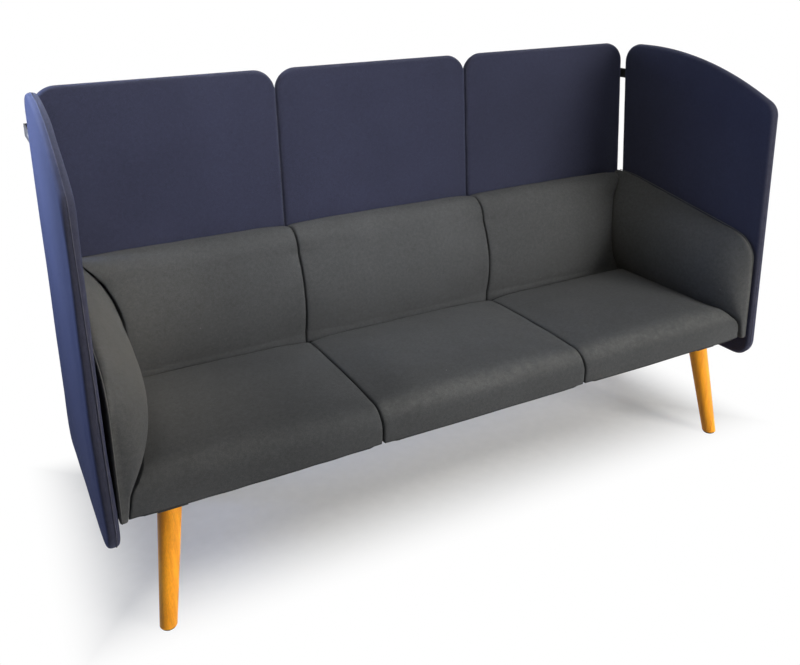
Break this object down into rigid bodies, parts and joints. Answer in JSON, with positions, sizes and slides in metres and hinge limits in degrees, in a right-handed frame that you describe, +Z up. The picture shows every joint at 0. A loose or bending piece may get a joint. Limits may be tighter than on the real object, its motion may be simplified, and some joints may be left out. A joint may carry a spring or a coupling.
{
  "type": "office lounge sofa",
  "caption": "Upholstered lounge sofa for offices with tall padded privacy screens behind and beside the seats, on tapered splayed wooden legs with levelling glides.",
  "frame": {"origin": "on the floor, under the middle of the sofa's bounding box", "axes": "+X along the sofa to the right of someone who faces it, +Y from the front edge to the back screens, +Z up"},
  "size_m": [1.9926, 0.6782, 1.1971],
  "materials": {
    "grey_fabric": "charcoal fine woven upholstery fabric",
    "navy_fabric": "navy woven screen fabric",
    "plywood": "raw birch plywood",
    "core_board": "raw fibreboard",
    "leg_wood": "honey coloured satin lacquer",
    "black_steel": "black powder coat",
    "zinc_steel": "zinc plated",
    "glide_plastic": "black moulded plastic"
  },
  "bodies": {
    "sofa": {"front_rail": "black_steel", "rear_rail": "black_steel", "cross_rail_left_end": "black_steel", "cross_rail_left_seam": "black_steel", "cross_rail_right_seam": "black_steel", "cross_rail_right_end": "black_steel", "leg_plate_front_left": "black_steel", "leg_front_left": "leg_wood", "leg_plate_front_right": "black_steel", "leg_front_right": "leg_wood", "leg_plate_rear_left": "black_steel", "leg_rear_left": "leg_wood", "leg_plate_rear_right": "black_steel", "leg_rear_right": "leg_wood", "seat_board_left": "plywood", "seat_cushion_left": "grey_fabric", "back_board_left": "plywood", "back_cushion_left": "grey_fabric", "back_screen_cover_left": "navy_fabric", "back_screen_core_left": "core_board", "seat_board_middle": "plywood", "seat_cushion_middle": "grey_fabric", "back_board_middle": "plywood", "back_cushion_middle": "grey_fabric", "back_screen_cover_middle": "navy_fabric", "back_screen_core_middle": "core_board", "seat_board_right": "plywood", "seat_cushion_right": "grey_fabric", "back_board_right": "plywood", "back_cushion_right": "grey_fabric", "back_screen_cover_right": "navy_fabric", "back_screen_core_right": "core_board", "back_upright_left_end": "black_steel", "back_upright_left_seam": "black_steel", "back_upright_right_seam": "black_steel", "back_upright_right_end": "black_steel", "arm_pad_right": "grey_fabric", "arm_board_right": "plywood", "arm_upright_front_right": "black_steel", "arm_upright_rear_right": "black_steel", "side_screen_cover_right": "navy_fabric", "side_screen_core_right": "core_board", "corner_bracket_right": "black_steel", "arm_pad_left": "grey_fabric", "arm_board_left": "plywood", "arm_upright_front_left": "black_steel", "arm_upright_rear_left": "black_steel", "side_screen_cover_left": "navy_fabric", "side_screen_core_left": "core_board", "corner_bracket_left": "black_steel", "leg_studs": "zinc_steel", "glide_inserts": "zinc_steel", "seat_bolts": "zinc_steel", "board_screws": "zinc_steel", "screen_bolts": "zinc_steel", "bracket_screws": "zinc_steel"},
    "levelling_glide_front_left": {"glide_front_left": "glide_plastic"},
    "levelling_glide_front_right": {"glide_front_right": "glide_plastic"},
    "levelling_glide_rear_left": {"glide_rear_left": "glide_plastic"},
    "levelling_glide_rear_right": {"glide_rear_right": "glide_plastic"}
  },
  "joints": [
    {"name": "level_front_left", "type": "slide", "parent": "sofa", "child": "levelling_glide_front_left", "axis": [0, 0, -1], "range_m": [0, 0.01]},
    {"name": "level_front_right", "type": "slide", "parent": "sofa", "child": "levelling_glide_front_right", "axis": [0, 0, -1], "range_m": [0, 0.01]},
    {"name": "level_rear_left", "type": "slide", "parent": "sofa", "child": "levelling_glide_rear_left", "axis": [0, 0, -1], "range_m": [0, 0.01]},
    {"name": "level_rear_right", "type": "slide", "parent": "sofa", "child": "levelling_glide_rear_right", "axis": [0, 0, -1], "range_m": [0, 0.01]}
  ]
}
